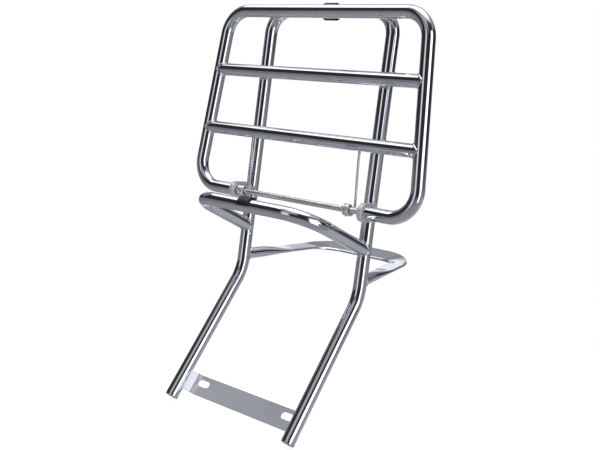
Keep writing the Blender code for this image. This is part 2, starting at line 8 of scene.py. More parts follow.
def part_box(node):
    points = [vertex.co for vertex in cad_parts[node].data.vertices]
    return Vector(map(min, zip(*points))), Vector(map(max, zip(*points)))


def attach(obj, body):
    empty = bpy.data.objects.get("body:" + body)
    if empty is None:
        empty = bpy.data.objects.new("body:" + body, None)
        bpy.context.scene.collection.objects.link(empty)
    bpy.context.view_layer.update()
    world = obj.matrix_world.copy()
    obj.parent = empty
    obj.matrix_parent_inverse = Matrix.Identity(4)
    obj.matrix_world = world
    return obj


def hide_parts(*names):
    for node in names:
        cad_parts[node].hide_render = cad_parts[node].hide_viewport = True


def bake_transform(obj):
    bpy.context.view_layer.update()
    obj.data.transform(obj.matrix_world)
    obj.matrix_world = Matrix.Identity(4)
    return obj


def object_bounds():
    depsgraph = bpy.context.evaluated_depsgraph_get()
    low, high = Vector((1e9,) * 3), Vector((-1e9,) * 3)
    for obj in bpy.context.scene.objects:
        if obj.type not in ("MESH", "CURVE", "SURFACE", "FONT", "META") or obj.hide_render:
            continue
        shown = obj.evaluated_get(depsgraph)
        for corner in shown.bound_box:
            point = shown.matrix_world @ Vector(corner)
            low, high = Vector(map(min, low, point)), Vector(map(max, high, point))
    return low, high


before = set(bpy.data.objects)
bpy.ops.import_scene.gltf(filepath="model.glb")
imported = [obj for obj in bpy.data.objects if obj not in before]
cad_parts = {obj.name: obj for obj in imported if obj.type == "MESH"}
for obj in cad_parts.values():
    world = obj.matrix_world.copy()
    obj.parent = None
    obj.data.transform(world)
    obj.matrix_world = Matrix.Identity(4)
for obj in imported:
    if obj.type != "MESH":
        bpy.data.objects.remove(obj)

CAD_BOUNDS = [list(corner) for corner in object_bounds()]
MM = 0.001
SIDES = {"left": -1, "right": 1}

# ---------------------------------------------------------------- driving sizes
TUBE_RADIUS = 8.0 * MM
LEG_TILT = math.radians(33.2)
KNEE_BEND_RADIUS = 53.0 * MM
KNEE_BELOW_HINGE = 102.0 * MM
FRAME_CORNER_RADIUS = 28.0 * MM

CARRIER_CORNER_RADIUS = 32.0 * MM
CARRIER_HEIGHT = 227.4 * MM
CARRIER_HALF_WIDTH_BASE = 167.7 * MM
CARRIER_HALF_WIDTH_TOP = 148.3 * MM
CARRIER_BAYS = 3
RUNNING_GAP = 0.4 * MM

EYE_RADIUS = 10.8 * MM
EYE_BEVEL = 0.7 * MM
SPRING_WIRE_RADIUS = 1.45 * MM
SPRING_TURNS = 3
SPRING_TAIL = 8.5 * MM
SPRING_ARM_X = 82.0 * MM
SPRING_SLACK_ON_ROD = 0.75 * MM
SPRING_WIRE_GAP = 0.3 * MM
WIRE_END_ROUND = 0.3 * MM
ARM_STRAIGHT = 9.0 * MM
ARM_BEND_RADIUS = 6.0 * MM
ARM_HOLE_DEPTH = 4.0 * MM
ARM_HOLE_RADIUS = 1.85 * MM
HOLE_CUTTER_OVERRUN = 2.0 * MM
WINDING_ROOM = 0.8 * MM
WASHER_CLEARANCE = 0.1 * MM
WASHER_EDGE = 0.3 * MM

HOOP_ROOT_BELOW_HINGE = 44.8 * MM
HOOP_HALF_WIDTH = 86.4 * MM
HOOP_CORNER_RADIUS = 39.5 * MM

LOOP_TUBE_RADIUS = 7.0 * MM
LOOP_BELOW_HINGE = 82.0 * MM
LOOP_REACH = 142.4 * MM
LOOP_RISE = 0.11
LOOP_FLAT_TILT = 0.54
LOOP_HALF_WIDTH = 64.0 * MM
LOOP_CORNER_RADIUS = 42.7 * MM
LOOP_FLAT_WIDTH = 22.9 * MM
LOOP_FLAT_THICKNESS = 3.6 * MM
LOOP_ROUND_LENGTH = 26.0 * MM
LOOP_FLATTEN_LENGTH = 52.0 * MM
LOOP_FACE_SPREAD = 1.6

PLATE_WIDTH = 25.0 * MM
PLATE_THICKNESS = 3.0 * MM
PLATE_SETBACK = 13.5 * MM
PLATE_BEND_START = 77.0 * MM
PLATE_STEP_X = 88.0 * MM
PLATE_BEND_RADIUS = 12.0 * MM
PLATE_END_BEND_RADIUS = 2.0 * MM
PLATE_BEVEL = 0.45 * MM
SLOT_LENGTH = 19.0 * MM
SLOT_WIDTH = 8.5 * MM
SLOT_END_MARGIN = 1.0 * MM
SLOT_ABOVE_CENTRE = 3.2 * MM

CAP_LENGTH = 3.2 * MM
CAP_BELOW_PLATE = 26.7 * MM
CAP_EDGE = 0.55 * MM
DIMPLE_DEPTH = 0.25 * MM
DIMPLE_FLOOR_RADIUS = 1.2 * MM
DIMPLE_FLOOR_DEPTH = 0.22 * MM
DIMPLE_RADIUS = 1.8 * MM

WELD_BEAD_RADIUS = 1.5 * MM
WELD_RIPPLE = 0.22 * MM
WELD_STEPS_PER_PUDDLE = 9
WELD_RHYTHM = 2
WELD_UNEVENNESS = 0.7
EDGE_ROUND = 0.8 * MM

# ---------------------------------------------------------------- mesh fineness
TUBE_SIDES = 64
WIRE_SIDES = 20
HOLE_SIDES = 32
BEND_STEPS = 24
WIDE_BEND_STEPS = 32
STRIP_BEND_STEPS = 14
WIRE_BEND_STEPS = 10
FLATTEN_STEPS = 48
LATHE_STEPS = 64
SADDLE_STEPS = 48
EDGE_STEPS = 6
END_ROUND_STEPS = 4
LUG_NOSE_STEPS = 40
SLOT_END_STEPS = 24
COIL_STEPS_PER_TURN = 48
SPRING_TAIL_STEPS = 8
WELD_STEPS = 72
WELD_SIDES = 12
BEVEL_SEGMENTS = 3
MERGE_DISTANCE = 0.001 * MM
SMOOTH_ANGLE = math.radians(38)

# ---------------------------------------------------------------- places, from the frame
ACROSS = Vector((1, 0, 0))
LOWER = Vector((0, -math.sin(LEG_TILT), -math.cos(LEG_TILT)))
PLATE_NORMAL = Vector((0, math.cos(LEG_TILT), -math.sin(LEG_TILT)))


def box_centre(node):
    low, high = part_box(node)
    return (Vector(low) + Vector(high)) / 2


def box_size(node, axis):
    low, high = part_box(node)
    return high[axis] - low[axis]


HINGE = box_centre("hinge_rod")
CROSSBAR = box_centre("top_buffer")
HOOP_FRONT = box_centre("hoop_buffer")
HOOP_FRONT.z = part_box("hoop_buffer")[0][2]
EYE_OUTER_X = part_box("hinge_eye_right")[1][0]
EYE_INNER_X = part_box("hinge_eye_right")[0][0]
STUB_END_X = EYE_OUTER_X + RUNNING_GAP
LEG_X = box_centre("leg_end_cap_right").x
LEG_Y = CROSSBAR.y
KNEE = Vector((0, LEG_Y, HINGE.z - KNEE_BELOW_HINGE))
CARRIER_TOP = (box_centre("carrier_tube").y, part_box("carrier_tube")[1][2] - TUBE_RADIUS)
CARRIER_LEAN = math.acos(min((CARRIER_TOP[1] - HINGE.z) / CARRIER_HEIGHT, 1.0))
CARRIER_UP = Vector((0, math.sin(CARRIER_LEAN), math.cos(CARRIER_LEAN)))
PLATE_CENTRE_ON_LEG = -PLATE_NORMAL * (PLATE_SETBACK + PLATE_THICKNESS / 2)
LEG_END = PLATE_CENTRE_ON_LEG + LOWER * CAP_BELOW_PLATE


# ---------------------------------------------------------------- paths
def arc_between(start, corner, end, radius, steps):
    """Points of the fillet of the given radius at a polyline's corner."""
    before = (start - corner).normalized()
    after = (end - corner).normalized()
    half_angle = before.angle(after) / 2
    centre = corner + (before + after).normalized() * (radius / math.sin(half_angle))
    first = corner + before * (radius / math.tan(half_angle)) - centre
    axis = before.cross(after).normalized()
    sweep = 2 * half_angle - math.pi
    return [centre + Matrix.Rotation(sweep * i / steps, 3, axis) @ first for i in range(steps + 1)]


def rounded_path(corners, radii, steps=BEND_STEPS):
    """A polyline with every inner corner replaced by an arc."""
    points = [corners[0]]
    for i, radius in enumerate(radii, start=1):
        points += arc_between(corners[i - 1], corners[i], corners[i + 1], radius, steps)
    points.append(corners[-1])
    return points


def tangents_of(points, closed=False):
    last = len(points) - 1
    found = []
    for i in range(len(points)):
        before = points[i - 1] if i > 0 or closed else points[0]
        after = points[(i + 1) % len(points)] if i < last or closed else points[last]
        found.append((after - before).normalized())
    return found


def untwisted(tangents):
    """One side vector per tangent, carried along the path without twist."""
    side = tangents[0].orthogonal().normalized()
    sides = [side]
    for before, after in zip(tangents, tangents[1:]):
        side = before.rotation_difference(after) @ side
        sides.append(side)
    return sides


# ---------------------------------------------------------------- meshes
def mesh_object(name, work):
    """Put a bmesh into the scene as an object, its faces turned outwards."""
    bmesh.ops.recalc_face_normals(work, faces=work.faces)
    mesh = bpy.data.meshes.new(name)
    work.to_mesh(mesh)
    work.free()
    made = bpy.data.objects.new(name, mesh)
    bpy.context.scene.collection.objects.link(made)
    return made


def finished(name, work, material, body=None):
    """Turn a bmesh into a shaded, named piece that rides on its body."""
    piece = mesh_object(name, work)
    piece.data.materials.append(material)
    piece.data.shade_smooth()
    piece.data.set_sharp_from_angle(angle=SMOOTH_ANGLE)
    if body:
        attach(piece, body)
    return piece


def skin_rings(work, rings, closed=False, capped=True):
    """Join rings of vertices by quads, and close the two ends of an open row."""
    pairs = list(zip(rings, rings[1:]))
    if closed:
        pairs.append((rings[-1], rings[0]))
    for first, second in pairs:
        for k in range(len(first)):
            j = (k + 1) % len(first)
            work.faces.new((first[k], first[j], second[j], second[k]))
    if capped and not closed:
        work.faces.new(rings[0])
        work.faces.new(rings[-1])


def sweep(work, points, radius, sides=TUBE_SIDES, end_round=0.0):
    """Round bar along a path; `end_round` turns its two end rims over."""
    tangents = tangents_of(points)
    stations = list(zip(points, tangents, untwisted(tangents), [radius] * len(points)))
    if end_round:
        turned = []
        for i in range(END_ROUND_STEPS + 1):
            angle = math.pi / 2 * i / END_ROUND_STEPS
            turned.append((end_round * (1 - math.sin(angle)), radius - end_round * (1 - math.cos(angle))))
        point, tangent, side, _ = stations[0]
        head = [(point + tangent * back, tangent, side, size) for back, size in reversed(turned)]
        point, tangent, side, _ = stations[-1]
        tail = [(point - tangent * back, tangent, side, size) for back, size in turned]
        stations = head + stations[1:-1] + tail
    rings = []
    for point, tangent, side, size in stations:
        rise = tangent.cross(side)
        ring = []
        for k in range(sides):
            angle = math.tau * k / sides
            offset = side * math.cos(angle) + rise * math.sin(angle)
            ring.append(work.verts.new(point + offset * size))
        rings.append(ring)
    skin_rings(work, rings)


def bar(name, points, radius, material, body, sides=TUBE_SIDES, end_round=0.0):
    work = bmesh.new()
    sweep(work, points, radius, sides, end_round)
    return finished(name, work, material, body)


def lathe(name, profile, centre, axis, material, body, steps=LATHE_STEPS, arc=math.tau):
    """Turned piece; the profile is a closed loop of (radius, height), or starts on the axis."""
    work = bmesh.new()
    turn = Vector(axis).to_track_quat("Z", "Y").to_matrix()
    whole = arc >= math.tau
    count = steps if whole else steps + 1
    rings = []
    for k in range(count):
        angle = arc * k / steps
        ring = []
        for radius, height in profile:
            place = Vector((radius * math.cos(angle), radius * math.sin(angle), height))
            ring.append(work.verts.new(centre + turn @ place))
        rings.append(ring)
    skin_rings(work, rings, closed=whole, capped=not whole)
    bmesh.ops.remove_doubles(work, verts=work.verts, dist=MERGE_DISTANCE)
    return finished(name, work, material, body)


def rounded_corner(centre_radius, centre_height, radius, start, steps=EDGE_STEPS):
    """Quarter round of a lathe profile, from `start` degrees anticlockwise."""
    points = []
    for i in range(steps + 1):
        angle = math.radians(start + 90 * i / steps)
        points.append(
            (centre_radius + radius * math.cos(angle), centre_height + radius * math.sin(angle))
        )
    return points


def sleeve_profile(inner, outer, length, edge):
    """Lathe profile of a sleeve: outer rims rounded by `edge`, inner ones by half of it."""
    half = length / 2
    profile = rounded_corner(outer - edge, edge - half, edge, -90)
    profile += rounded_corner(outer - edge, half - edge, edge, 0)
    small = edge / 2
    profile += rounded_corner(inner + small, half - small, small, 90)
    profile += rounded_corner(inner + small, small - half, small, 180)
    return profile


# ---------------------------------------------------------------- node helpers
COLOUR_A, COLOUR_B, COLOUR_RESULT = 6, 7, 2


def add_node(tree, kind, **settings):
    made = tree.nodes.new(kind)
    for name, value in settings.items():
        setattr(made, name, value)
    return made


def feed(tree, socket, value):
    if isinstance(value, (int, float, tuple)):
        socket.default_value = value
    else:
        tree.links.new(value, socket)


def maths(tree, operation, *values):
    made = add_node(tree, "ShaderNodeMath", operation=operation)
    for socket, value in zip(made.inputs, values):
        feed(tree, socket, value)
    return made.outputs[0]


def ramp(tree, value, low, high, out_low=0.0, out_high=1.0):
    made = add_node(tree, "ShaderNodeMapRange", interpolation_type="SMOOTHSTEP")
    for name, given in (
        ("Value", value), ("From Min", low), ("From Max", high), ("To Min", out_low), ("To Max", out_high)
    ):
        feed(tree, made.inputs[name], given)
    return made.outputs["Result"]


def blend_colour(tree, factor, first, second):
    made = add_node(tree, "ShaderNodeMix", data_type="RGBA")
    feed(tree, made.inputs["Factor"], factor)
    feed(tree, made.inputs[COLOUR_A], first)
    feed(tree, made.inputs[COLOUR_B], second)
    return made.outputs[COLOUR_RESULT]


def grain(tree, coordinates, scale, detail=3.0, stretch=(1, 1, 1)):
    mapping = add_node(tree, "ShaderNodeMapping")
    mapping.inputs["Scale"].default_value = stretch
    tree.links.new(coordinates, mapping.inputs["Vector"])
    made = add_node(tree, "ShaderNodeTexNoise")
    made.inputs["Scale"].default_value = scale
    made.inputs["Detail"].default_value = detail
    tree.links.new(mapping.outputs["Vector"], made.inputs["Vector"])
    return made.outputs["Fac"]


def bumped(tree, shader, height, strength, distance, previous=None):
    made = add_node(tree, "ShaderNodeBump")
    made.inputs["Strength"].default_value = strength
    made.inputs["Distance"].default_value = distance
    tree.links.new(height, made.inputs["Height"])
    if previous:
        tree.links.new(previous, made.inputs["Normal"])
    tree.links.new(made.outputs["Normal"], shader.inputs["Normal"])
    return made.outputs["Normal"]


def mix_shaders(tree, factor, first, second):
    made = add_node(tree, "ShaderNodeMixShader")
    for socket, value in zip(made.inputs, (factor, first, second)):
        tree.links.new(value, socket)
    return made.outputs[0]


def emission(tree, strength):
    made = add_node(tree, "ShaderNodeEmission")
    made.inputs["Strength"].default_value = strength
    return made.outputs[0]


def new_material(name):
    material = bpy.data.materials.new(name)
    material.use_nodes = True
    tree = material.node_tree
    coordinates = add_node(tree, "ShaderNodeTexCoord").outputs["Object"]
    return material, tree, tree.nodes["Principled BSDF"], coordinates


# ---------------------------------------------------------------- materials
def plated(name, light, dark, rough_low, rough_high, wave, pit, metallic=1.0):
    """Polished plating: slow waviness, fine pitting, and polishing lines in the gloss."""
    material, tree, shader, place = new_material(name)
    shader.inputs["Metallic"].default_value = metallic
    clouds = ramp(tree, grain(tree, place, scale=38.0, detail=4.0), low=0.35, high=0.7)
    feed(tree, shader.inputs["Base Color"], blend_colour(tree, clouds, (*light, 1), (*dark, 1)))
    streaks = grain(tree, place, scale=900.0, detail=2.0, stretch=(0.18, 1, 1))
    lines = ramp(tree, streaks, low=0.45, high=0.75)
    smears = ramp(tree, grain(tree, place, scale=70.0, detail=5.0), low=0.4, high=0.75)
    worn = maths(tree, "MULTIPLY_ADD", smears, 0.6, maths(tree, "MULTIPLY", lines, 0.4))
    feed(tree, shader.inputs["Roughness"], ramp(tree, worn, 0.0, 1.0, rough_low, rough_high))
    swell = grain(tree, place, scale=55.0, detail=1.0)
    ripple = bumped(tree, shader, swell, strength=wave, distance=0.6 * MM)
    pits = grain(tree, place, scale=2600.0, detail=2.0)
    bumped(tree, shader, pits, strength=pit, distance=0.06 * MM, previous=ripple)
    return material


CHROME = plated(
    "polished_chrome", light=(0.80, 0.81, 0.83), dark=(0.74, 0.75, 0.77),
    rough_low=0.015, rough_high=0.055, wave=0.04, pit=0.012,
)
PRESSED_CHROME = plated(
    "pressed_chrome", light=(0.78, 0.79, 0.81), dark=(0.72, 0.73, 0.75),
    rough_low=0.07, rough_high=0.14, wave=0.10, pit=0.04,
)
ZINC = plated(
    "zinc_plate", light=(0.90, 0.90, 0.90), dark=(0.78, 0.79, 0.79),
    rough_low=0.36, rough_high=0.50, wave=0.20, pit=0.55,
)
SPRING_STEEL = plated(
    "spring_steel", light=(0.90, 0.90, 0.88), dark=(0.74, 0.74, 0.72),
    rough_low=0.26, rough_high=0.42, wave=0.20, pit=0.45,
)
STRIP_CHROME = plated(
    "strip_chrome", light=(0.90, 0.91, 0.95), dark=(0.84, 0.85, 0.89),
    rough_low=0.16, rough_high=0.24, wave=0.04, pit=0.015, metallic=0.38,
)
LUG_ZINC = plated(
    "lug_zinc", light=(0.88, 0.88, 0.88), dark=(0.78, 0.78, 0.79),
    rough_low=0.42, rough_high=0.55, wave=0.15, pit=0.35, metallic=0.35,
)


def rubber():
    """Moulded black rubber: dusty patches, uneven sheen and a pebbled skin."""
    material, tree, shader, place = new_material("black_rubber")
    dust = ramp(tree, grain(tree, place, scale=160.0, detail=6.0), low=0.5, high=0.85)
    colour = blend_colour(tree, dust, (0.010, 0.010, 0.011, 1), (0.035, 0.035, 0.036, 1))
    feed(tree, shader.inputs["Base Color"], colour)
    sheen = grain(tree, place, scale=500.0, detail=3.0)
    feed(tree, shader.inputs["Roughness"], ramp(tree, sheen, 0.3, 0.7, out_low=0.38, out_high=0.58))
    pebbles = grain(tree, place, scale=420.0, detail=4.0)
    skin = bumped(tree, shader, pebbles, strength=0.35, distance=0.3 * MM)
    pores = grain(tree, place, scale=3000.0, detail=2.0)
    bumped(tree, shader, pores, strength=0.4, distance=0.1 * MM, previous=skin)
    return material


def nylon():
    """Natural nylon: cloudy off-white with a fine moulded grain."""
    material, tree, shader, place = new_material("natural_nylon")
    clouds = ramp(tree, grain(tree, place, scale=220.0, detail=4.0), low=0.3, high=0.8)
    colour = blend_colour(tree, clouds, (0.72, 0.70, 0.64, 1), (0.62, 0.60, 0.54, 1))
    feed(tree, shader.inputs["Base Color"], colour)
    feed(tree, shader.inputs["Roughness"], ramp(tree, clouds, 0.0, 1.0, out_low=0.38, out_high=0.5))
    pores = grain(tree, place, scale=1500.0, detail=2.0)
    bumped(tree, shader, pores, strength=0.3, distance=0.1 * MM)
    return material


RUBBER = rubber()
NYLON = nylon()


# ---------------------------------------------------------------- frame pieces
def leg_points(side):
    """Lower end, knee and top corner of one leg's centre line."""
    x = side * LEG_X
    cap = box_centre("leg_end_cap_right")
    end = Vector((x, cap.y, cap.z))
    return end, Vector((x, KNEE.y, KNEE.z)), Vector((x, LEG_Y, CROSSBAR.z))


def build_frame():
    corners = [*leg_points(-1), *reversed(leg_points(1))]
    radii = [KNEE_BEND_RADIUS, FRAME_CORNER_RADIUS, FRAME_CORNER_RADIUS, KNEE_BEND_RADIUS]
    tube = bar("upright_tube", rounded_path(corners, radii), TUBE_RADIUS, CHROME, "frame")
    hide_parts("frame_tube")


def build_caps():
    """Welded end discs: flat face, softly ground rim, shallow centre dimple."""
    for label, side in SIDES.items():
        centre = Vector((side * LEG_X, LEG_END.y, LEG_END.z))
        profile = [(0.0, -DIMPLE_DEPTH), (DIMPLE_FLOOR_RADIUS, -DIMPLE_FLOOR_DEPTH), (DIMPLE_RADIUS, 0.0)]
        profile += reversed(rounded_corner(TUBE_RADIUS - CAP_EDGE, -CAP_EDGE, CAP_EDGE, 0))
        profile += [(TUBE_RADIUS, -CAP_LENGTH), (0.0, -CAP_LENGTH)]
        cap = lathe(f"leg_end_disc_{label}", profile, centre, LOWER, PRESSED_CHROME, "frame")
        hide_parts(f"leg_end_cap_{label}")


def hoop_points():
    """Corners of the hoop's centre line, and the line with its bends rounded."""
    root_z = HINGE.z - HOOP_ROOT_BELOW_HINGE
    corners = [
        Vector((-LEG_X, LEG_Y, root_z)),
        Vector((-HOOP_HALF_WIDTH, HOOP_FRONT.y, HOOP_FRONT.z)),
        Vector((HOOP_HALF_WIDTH, HOOP_FRONT.y, HOOP_FRONT.z)),
        Vector((LEG_X, LEG_Y, root_z)),
    ]
    return corners, rounded_path(corners, [HOOP_CORNER_RADIUS] * 2, WIDE_BEND_STEPS)


def build_hoop():
    hoop = bar("support_hoop", hoop_points()[1], TUBE_RADIUS, CHROME, "frame")
    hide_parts("hoop_tube")


def smoothstep(value):
    value = min(max(value, 0.0), 1.0)
    return value * value * (3 - 2 * value)


def loop_corners():
    root = Vector((LEG_X, LEG_Y, HINGE.z - LOOP_BELOW_HINGE))
    back = root + Vector((0, LOOP_REACH, LOOP_REACH * LOOP_RISE))
    return [
        Vector((-root.x, root.y, root.z)),
        Vector((-LOOP_HALF_WIDTH, back.y, back.z)),
        Vector((LOOP_HALF_WIDTH, back.y, back.z)),
        root,
    ]


def loop_section(angle, flatness):
    """Section point at an angle: a circle at flatness 0, a flat bar with round edges at 1."""
    half_thickness = LOOP_FLAT_THICKNESS / 2
    reach = LOOP_FACE_SPREAD * math.cos(angle)
    spread = min(max(reach, -1), 1)
    beyond = (abs(reach) - abs(spread)) / (LOOP_FACE_SPREAD - 1)
    turn = math.asin(min(beyond, 1))
    flat_u = (LOOP_FLAT_WIDTH / 2 - half_thickness) * spread
    flat_u += math.copysign(half_thickness * math.sin(turn), reach)
    flat_v = math.copysign(half_thickness * math.cos(turn), math.sin(angle))
    round_u = LOOP_TUBE_RADIUS * math.cos(angle)
    round_v = LOOP_TUBE_RADIUS * math.sin(angle)
    u = round_u + (flat_u - round_u) * flatness
    v = round_v + (flat_v - round_v) * flatness
    return u, v


def build_loop():
    """Grab loop: round tube at the legs, pressed flat towards its back."""
    path = rounded_path(loop_corners(), [LOOP_CORNER_RADIUS] * 2, WIDE_BEND_STEPS)
    head = [path[0].lerp(path[1], i / FLATTEN_STEPS) for i in range(FLATTEN_STEPS)]
    tail = [path[-2].lerp(path[-1], (i + 1) / FLATTEN_STEPS) for i in range(FLATTEN_STEPS)]
    path = head + path[1:-1] + tail
    normal = Vector((0, -LOOP_FLAT_TILT, 1)).normalized()
    work = bmesh.new()
    rings = []
    for point, tangent in zip(path, tangents_of(path)):
        side = tangent.cross(normal).normalized()
        rise = side.cross(tangent)
        from_root = min((point - path[0]).length, (point - path[-1]).length)
        flatness = smoothstep((from_root - LOOP_ROUND_LENGTH) / LOOP_FLATTEN_LENGTH)
        ring = []
        for k in range(TUBE_SIDES):
            u, v = loop_section(math.tau * k / TUBE_SIDES, flatness)
            ring.append(work.verts.new(point + side * u + rise * v))
        rings.append(ring)
    skin_rings(work, rings)
    loop = finished("grab_loop", work, CHROME, "frame")
    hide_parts("rear_loop")


# ---------------------------------------------------------------- cut plates
def apply_modifiers(piece):
    """Replace a piece's mesh by its evaluated one."""
    depsgraph = bpy.context.evaluated_depsgraph_get()
    mesh = bpy.data.meshes.new_from_object(piece.evaluated_get(depsgraph))
    piece.modifiers.clear()
    piece.data = mesh


def cut_and_bevel(piece, cutters, bevel):
    """Cut holes in a piece, round its edges by `bevel` unless that is 0, and even its shading."""
    for cutter in cutters:
        cut = piece.modifiers.new("cut", "BOOLEAN")
        cut.operation = "DIFFERENCE"
        cut.solver = "EXACT"
        cut.object = cutter
    if bevel:
        edge = piece.modifiers.new("edge", "BEVEL")
        edge.width = bevel
        edge.segments = BEVEL_SEGMENTS
        edge.limit_method = "ANGLE"
        edge.angle_limit = SMOOTH_ANGLE
    smooth = piece.modifiers.new("smooth", "WEIGHTED_NORMAL")
    smooth.keep_sharp = True
    apply_modifiers(piece)
    for cutter in cutters:
        bpy.data.objects.remove(cutter, do_unlink=True)


def prism(work, outline, place, low, high):
    """Extrude a closed 2D outline between two heights; `place` maps (x, y, height)."""
    rings = []
    for height in (low, high):
        rings.append([work.verts.new(place @ Vector((x, y, height))) for x, y in outline])
    skin_rings(work, rings)


def matrix_of(*axes):
    """Matrix whose first three columns are the given axes."""
    return Matrix(axes).transposed().to_4x4()


def slot_outline(centre_x):
    """Outline of one slot: two half circles joined by straight sides."""
    straight = SLOT_LENGTH - SLOT_WIDTH
    points = []
    for end in (1, -1):
        for i in range(SLOT_END_STEPS + 1):
            angle = -math.pi / 2 + math.pi * i / SLOT_END_STEPS
            x = end * (straight / 2 + SLOT_WIDTH / 2 * math.cos(angle))
            y = end * SLOT_WIDTH / 2 * math.sin(angle)
            points.append((centre_x + x, y - SLOT_ABOVE_CENTRE))
    return points


def build_strip():
    """Slotted mounting strip; both ends joggle forward onto the legs."""
    corners = [
        Vector((-LEG_X, 0, -PLATE_SETBACK)),
        Vector((-PLATE_STEP_X, 0, -PLATE_SETBACK)),
        Vector((-PLATE_BEND_START, 0, 0)),
        Vector((PLATE_BEND_START, 0, 0)),
        Vector((PLATE_STEP_X, 0, -PLATE_SETBACK)),
        Vector((LEG_X, 0, -PLATE_SETBACK)),
    ]
    radii = [PLATE_END_BEND_RADIUS, PLATE_BEND_RADIUS, PLATE_BEND_RADIUS, PLATE_END_BEND_RADIUS]
    path = rounded_path(corners, radii, STRIP_BEND_STEPS)
    half = PLATE_WIDTH / 2
    place = matrix_of(ACROSS, LOWER, PLATE_NORMAL)
    work = bmesh.new()
    rings = []
    for point, tangent in zip(path, tangents_of(path)):
        depth = Vector((-tangent.z, 0, tangent.x)) * PLATE_THICKNESS
        corners_here = [
            (point.x, -half, point.z), (point.x, half, point.z),
            (point.x - depth.x, half, point.z - depth.z), (point.x - depth.x, -half, point.z - depth.z),
        ]
        rings.append([work.verts.new(place @ Vector(corner)) for corner in corners_here])
    skin_rings(work, rings)
    strip = finished("slotted_strip", work, STRIP_CHROME)
    slot_x = PLATE_BEND_START - SLOT_END_MARGIN - SLOT_LENGTH / 2
    reach = 4 * PLATE_THICKNESS
    cutters = []
    for side in SIDES.values():
        work = bmesh.new()
        prism(work, slot_outline(side * slot_x), place, -reach, reach)
        cutters.append(mesh_object("cutter", work))
    cut_and_bevel(strip, cutters, PLATE_BEVEL)
    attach(strip, "frame")
    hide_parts("mounting_plate")


def build_eyes():
    """Hinge lugs: round nose on the rod, tail welded to the front of the leg."""
    tail = LEG_Y - HINGE.y
    outline = [(tail, EYE_RADIUS)]
    for i in range(LUG_NOSE_STEPS + 1):
        angle = math.pi / 2 + math.pi * i / LUG_NOSE_STEPS
        outline.append((EYE_RADIUS * math.cos(angle), EYE_RADIUS * math.sin(angle)))
    outline.append((tail, -EYE_RADIUS))
    place = Matrix(((0, 0, 1, 0), (1, 0, 0, HINGE.y), (0, 1, 0, HINGE.z), (0, 0, 0, 1)))
    for label, side in SIDES.items():
        work = bmesh.new()
        low, high = sorted((side * EYE_INNER_X, side * EYE_OUTER_X))
        prism(work, outline, place, low, high)
        eye = finished(f"hinge_lug_{label}", work, LUG_ZINC)
        cut_and_bevel(eye, [], EYE_BEVEL)
        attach(eye, "frame")
        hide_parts(f"hinge_eye_{label}")


# ---------------------------------------------------------------- hinge hardware
def build_rod():
    """Hinge rod with rounded ends, and the washers on it."""
    half = box_size("hinge_rod", 0) / 2
    radius = box_size("hinge_rod", 2) / 2
    edge = EDGE_ROUND
    profile = [(0.0, half), *reversed(rounded_corner(radius - edge, half - edge, edge, 0))]
    profile += [*reversed(rounded_corner(radius - edge, edge - half, edge, -90)), (0.0, -half)]
    rod = lathe("pivot_rod", profile, HINGE, ACROSS, ZINC, "frame")
    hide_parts("hinge_rod")
    inner = radius + WASHER_CLEARANCE
    for label in SIDES:
        node = f"hinge_washer_{label}"
        outer = box_size(node, 2) / 2
        profile = sleeve_profile(inner, outer, box_size(node, 0), WASHER_EDGE)
        washer = lathe(f"pivot_washer_{label}", profile, box_centre(node), ACROSS, ZINC, "frame")
        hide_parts(node)


def bar_height(index):
    """Height of a cross rail on the carrier, counted from the hinge."""
    return CARRIER_HEIGHT * index / CARRIER_BAYS


def on_carrier(x, height):
    """Point in the carrier's plane, at a height measured up it from the hinge."""
    return HINGE + Vector((x, 0, 0)) + CARRIER_UP * height


def build_springs():
    """Each return spring is one wire: tail, coil round the rod, arm into the lower rail."""
    coil_radius = box_size("hinge_rod", 2) / 2 + SPRING_WIRE_RADIUS + SPRING_SLACK_ON_ROD
    pitch = 2 * SPRING_WIRE_RADIUS + SPRING_WIRE_GAP
    count = SPRING_TURNS * COIL_STEPS_PER_TURN
    ease_steps = COIL_STEPS_PER_TURN / 3
    for label, side in SIDES.items():
        arm_x = side * SPRING_ARM_X
        start_x = arm_x - WINDING_ROOM - SPRING_TURNS * pitch
        tail_top = HINGE + Vector((start_x - HINGE.x, coil_radius, 0))
        path = []
        for i in range(SPRING_TAIL_STEPS):
            path.append(tail_top - Vector((0, 0, SPRING_TAIL * (1 - i / SPRING_TAIL_STEPS))))
        for i in range(count + 1):
            turns = i / COIL_STEPS_PER_TURN
            ease = WINDING_ROOM * smoothstep((i - count + ease_steps) / ease_steps)
            x = start_x + pitch * turns + ease
            y = coil_radius * math.cos(math.tau * turns)
            z = coil_radius * math.sin(math.tau * turns)
            path.append(HINGE + Vector((x - HINGE.x, y, z)))
        rail_bottom = bar_height(1) - TUBE_RADIUS
        foot = HINGE + Vector((arm_x, coil_radius, 0))
        knee = foot + Vector((0, 0, ARM_STRAIGHT))
        neck = on_carrier(arm_x, rail_bottom - ARM_STRAIGHT)
        tip = on_carrier(arm_x, rail_bottom + ARM_HOLE_DEPTH - RUNNING_GAP)
        path += rounded_path([foot, knee, neck, tip], [ARM_BEND_RADIUS] * 2, WIRE_BEND_STEPS)[1:]
        work = bmesh.new()
        sweep(work, path, SPRING_WIRE_RADIUS, WIRE_SIDES, WIRE_END_ROUND)
        spring = finished(f"return_spring_{label}", work, SPRING_STEEL)
        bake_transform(spring)
        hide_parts(f"spring_coil_{label}", f"spring_arm_{label}")


# ---------------------------------------------------------------- carrier pieces
def carrier_corner(side, height):
    """Point on a side tube's centre line at a height; the carrier narrows upwards."""
    taper = CARRIER_HALF_WIDTH_TOP - CARRIER_HALF_WIDTH_BASE
    return on_carrier(side * (CARRIER_HALF_WIDTH_BASE + taper * height / CARRIER_HEIGHT), height)


